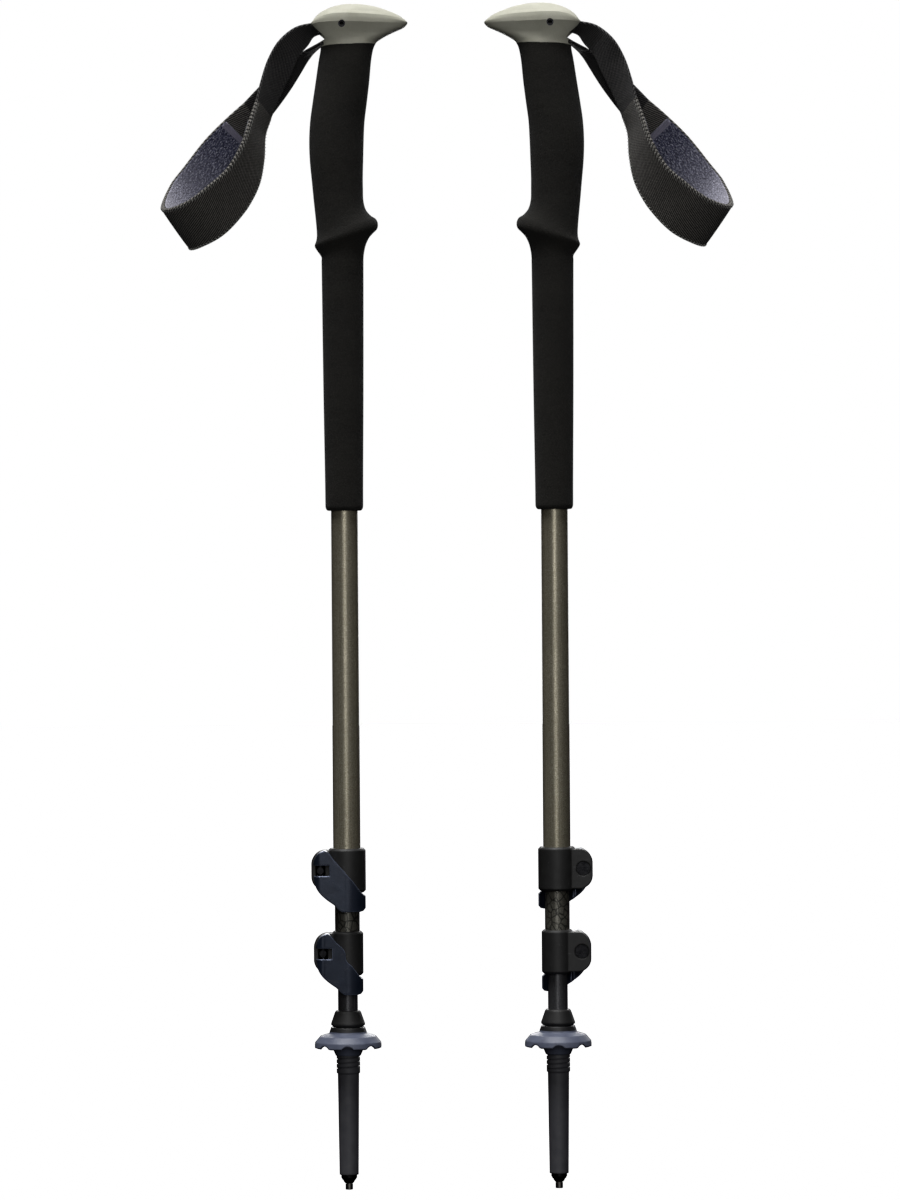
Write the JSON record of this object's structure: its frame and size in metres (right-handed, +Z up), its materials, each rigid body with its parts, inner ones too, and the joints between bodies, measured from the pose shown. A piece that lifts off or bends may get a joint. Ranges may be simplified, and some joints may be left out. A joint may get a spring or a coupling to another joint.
{
  "type": "pair of telescopic trekking poles",
  "caption": "Three-section telescopic walking poles with lever clamps, foam grips, padded wrist straps, baskets and metal tips, shown fully collapsed.",
  "frame": {"origin": "on the ground, midway between the two tip pins", "axes": "+Z up along the poles, +X from the left pole to the right pole, -Y towards the side that shows the left pole's levers"},
  "size_m": [0.3442, 0.0672, 0.711],
  "materials": {
    "head": "satin pale moulding",
    "foam": "closed-cell foam, fine open skin",
    "webbing": "diagonal woven webbing",
    "strap_fabric": "smooth woven band with a stitched edge",
    "lining": "brushed knit",
    "upper_anodised": "satin anodised, fine speckle",
    "middle_anodised": "satin anodised, fine lattice print",
    "lower_anodised": "satin black anodised",
    "black_plastic": "satin moulding",
    "lever": "satin metallic slate blue with bright bevels",
    "basket": "satin moulding",
    "tip_plastic": "satin moulding",
    "bush": "plain moulding",
    "steel": "ground",
    "steel_dark": "black oxide"
  },
  "bodies": {
    "left_upper": {"left_head": "head", "left_strap_pin": "steel", "left_strap_anchor": "webbing", "left_grip": "foam", "left_grip_extension": "foam", "left_upper_shaft": "upper_anodised", "left_upper_collar": "black_plastic", "left_upper_lever_pin": "steel_dark"},
    "left_strap": {"left_strap_near_leg": "webbing", "left_strap_far_leg": "webbing", "left_strap_tail": "webbing", "left_strap_pad": "strap_fabric", "left_strap_lining": "lining"},
    "left_upper_lever": {"left_upper_lever": "lever"},
    "left_upper_screw": {"left_upper_screw": "steel_dark"},
    "left_middle": {"left_middle_shaft": "middle_anodised", "left_middle_bush": "bush", "left_lower_collar": "black_plastic", "left_lower_lever_pin": "steel_dark"},
    "left_lower_lever": {"left_lower_lever": "lever"},
    "left_lower_screw": {"left_lower_screw": "steel_dark"},
    "left_lower": {"left_lower_shaft": "lower_anodised", "left_lower_bush": "bush", "left_tip_collar": "black_plastic", "left_basket": "basket", "left_tip_body": "tip_plastic", "left_tip_holder": "tip_plastic", "left_tip_pin": "steel"},
    "right_upper": {"right_head": "head", "right_strap_pin": "steel", "right_strap_anchor": "webbing", "right_grip": "foam", "right_grip_extension": "foam", "right_upper_shaft": "upper_anodised", "right_upper_collar": "black_plastic", "right_upper_lever_pin": "steel_dark"},
    "right_strap": {"right_strap_near_leg": "webbing", "right_strap_far_leg": "webbing", "right_strap_tail": "webbing", "right_strap_pad": "strap_fabric", "right_strap_lining": "lining"},
    "right_upper_lever": {"right_upper_lever": "lever"},
    "right_upper_screw": {"right_upper_screw": "steel_dark"},
    "right_middle": {"right_middle_shaft": "middle_anodised", "right_middle_bush": "bush", "right_lower_collar": "black_plastic", "right_lower_lever_pin": "steel_dark"},
    "right_lower_lever": {"right_lower_lever": "lever"},
    "right_lower_screw": {"right_lower_screw": "steel_dark"},
    "right_lower": {"right_lower_shaft": "lower_anodised", "right_lower_bush": "bush", "right_tip_collar": "black_plastic", "right_basket": "basket", "right_tip_body": "tip_plastic", "right_tip_holder": "tip_plastic", "right_tip_pin": "steel"}
  },
  "joints": [
    {"name": "left_middle_slide", "type": "slide", "parent": "left_upper", "child": "left_middle", "axis": [0, 0, -1], "range_m": [-0.01, 0.345]},
    {"name": "left_lower_slide", "type": "slide", "parent": "left_middle", "child": "left_lower", "axis": [0, 0, -1], "range_m": [-0.008, 0.345]},
    {"name": "left_upper_lever_hinge", "type": "hinge", "parent": "left_upper", "child": "left_upper_lever", "pos_m": [-0.0787, -0.009, 0.1917], "axis": [0, 0, -1], "range_deg": [0, 165]},
    {"name": "left_upper_screw_turn", "type": "hinge", "parent": "left_upper", "child": "left_upper_screw", "pos_m": [-0.0787, 0.004, 0.1917], "axis": [0, -1, 0], "continuous": true},
    {"name": "left_lower_lever_hinge", "type": "hinge", "parent": "left_middle", "child": "left_lower_lever", "pos_m": [-0.0775, -0.009, 0.142], "axis": [0, 0, -1], "range_deg": [0, 165]},
    {"name": "left_lower_screw_turn", "type": "hinge", "parent": "left_middle", "child": "left_lower_screw", "pos_m": [-0.0775, 0.004, 0.142], "axis": [0, -1, 0], "continuous": true},
    {"name": "left_strap_swing", "type": "hinge", "parent": "left_upper", "child": "left_strap", "pos_m": [-0.0813, 0, 0.6952], "axis": [0, 1, 0], "range_deg": [-6, 75]},
    {"name": "right_middle_slide", "type": "slide", "parent": "right_upper", "child": "right_middle", "axis": [0, 0, -1], "range_m": [-0.01, 0.345]},
    {"name": "right_lower_slide", "type": "slide", "parent": "right_middle", "child": "right_lower", "axis": [0, 0, -1], "range_m": [-0.008, 0.345]},
    {"name": "right_upper_lever_hinge", "type": "hinge", "parent": "right_upper", "child": "right_upper_lever", "pos_m": [0.0787, 0.009, 0.1917], "axis": [0, 0, -1], "range_deg": [0, 165]},
    {"name": "right_upper_screw_turn", "type": "hinge", "parent": "right_upper", "child": "right_upper_screw", "pos_m": [0.0787, -0.004, 0.1917], "axis": [0, 1, 0], "continuous": true},
    {"name": "right_lower_lever_hinge", "type": "hinge", "parent": "right_middle", "child": "right_lower_lever", "pos_m": [0.0775, 0.009, 0.142], "axis": [0, 0, -1], "range_deg": [0, 165]},
    {"name": "right_lower_screw_turn", "type": "hinge", "parent": "right_middle", "child": "right_lower_screw", "pos_m": [0.0775, -0.004, 0.142], "axis": [0, 1, 0], "continuous": true},
    {"name": "right_strap_swing", "type": "hinge", "parent": "right_upper", "child": "right_strap", "pos_m": [0.0813, 0, 0.6952], "axis": [0, -1, 0], "range_deg": [-6, 75]},
    {"name": "right_pole_apart", "type": "slide", "parent": "left_upper", "child": "right_upper", "axis": [1, 0, 0], "range_m": [-0.03, 0.4]}
  ]
}
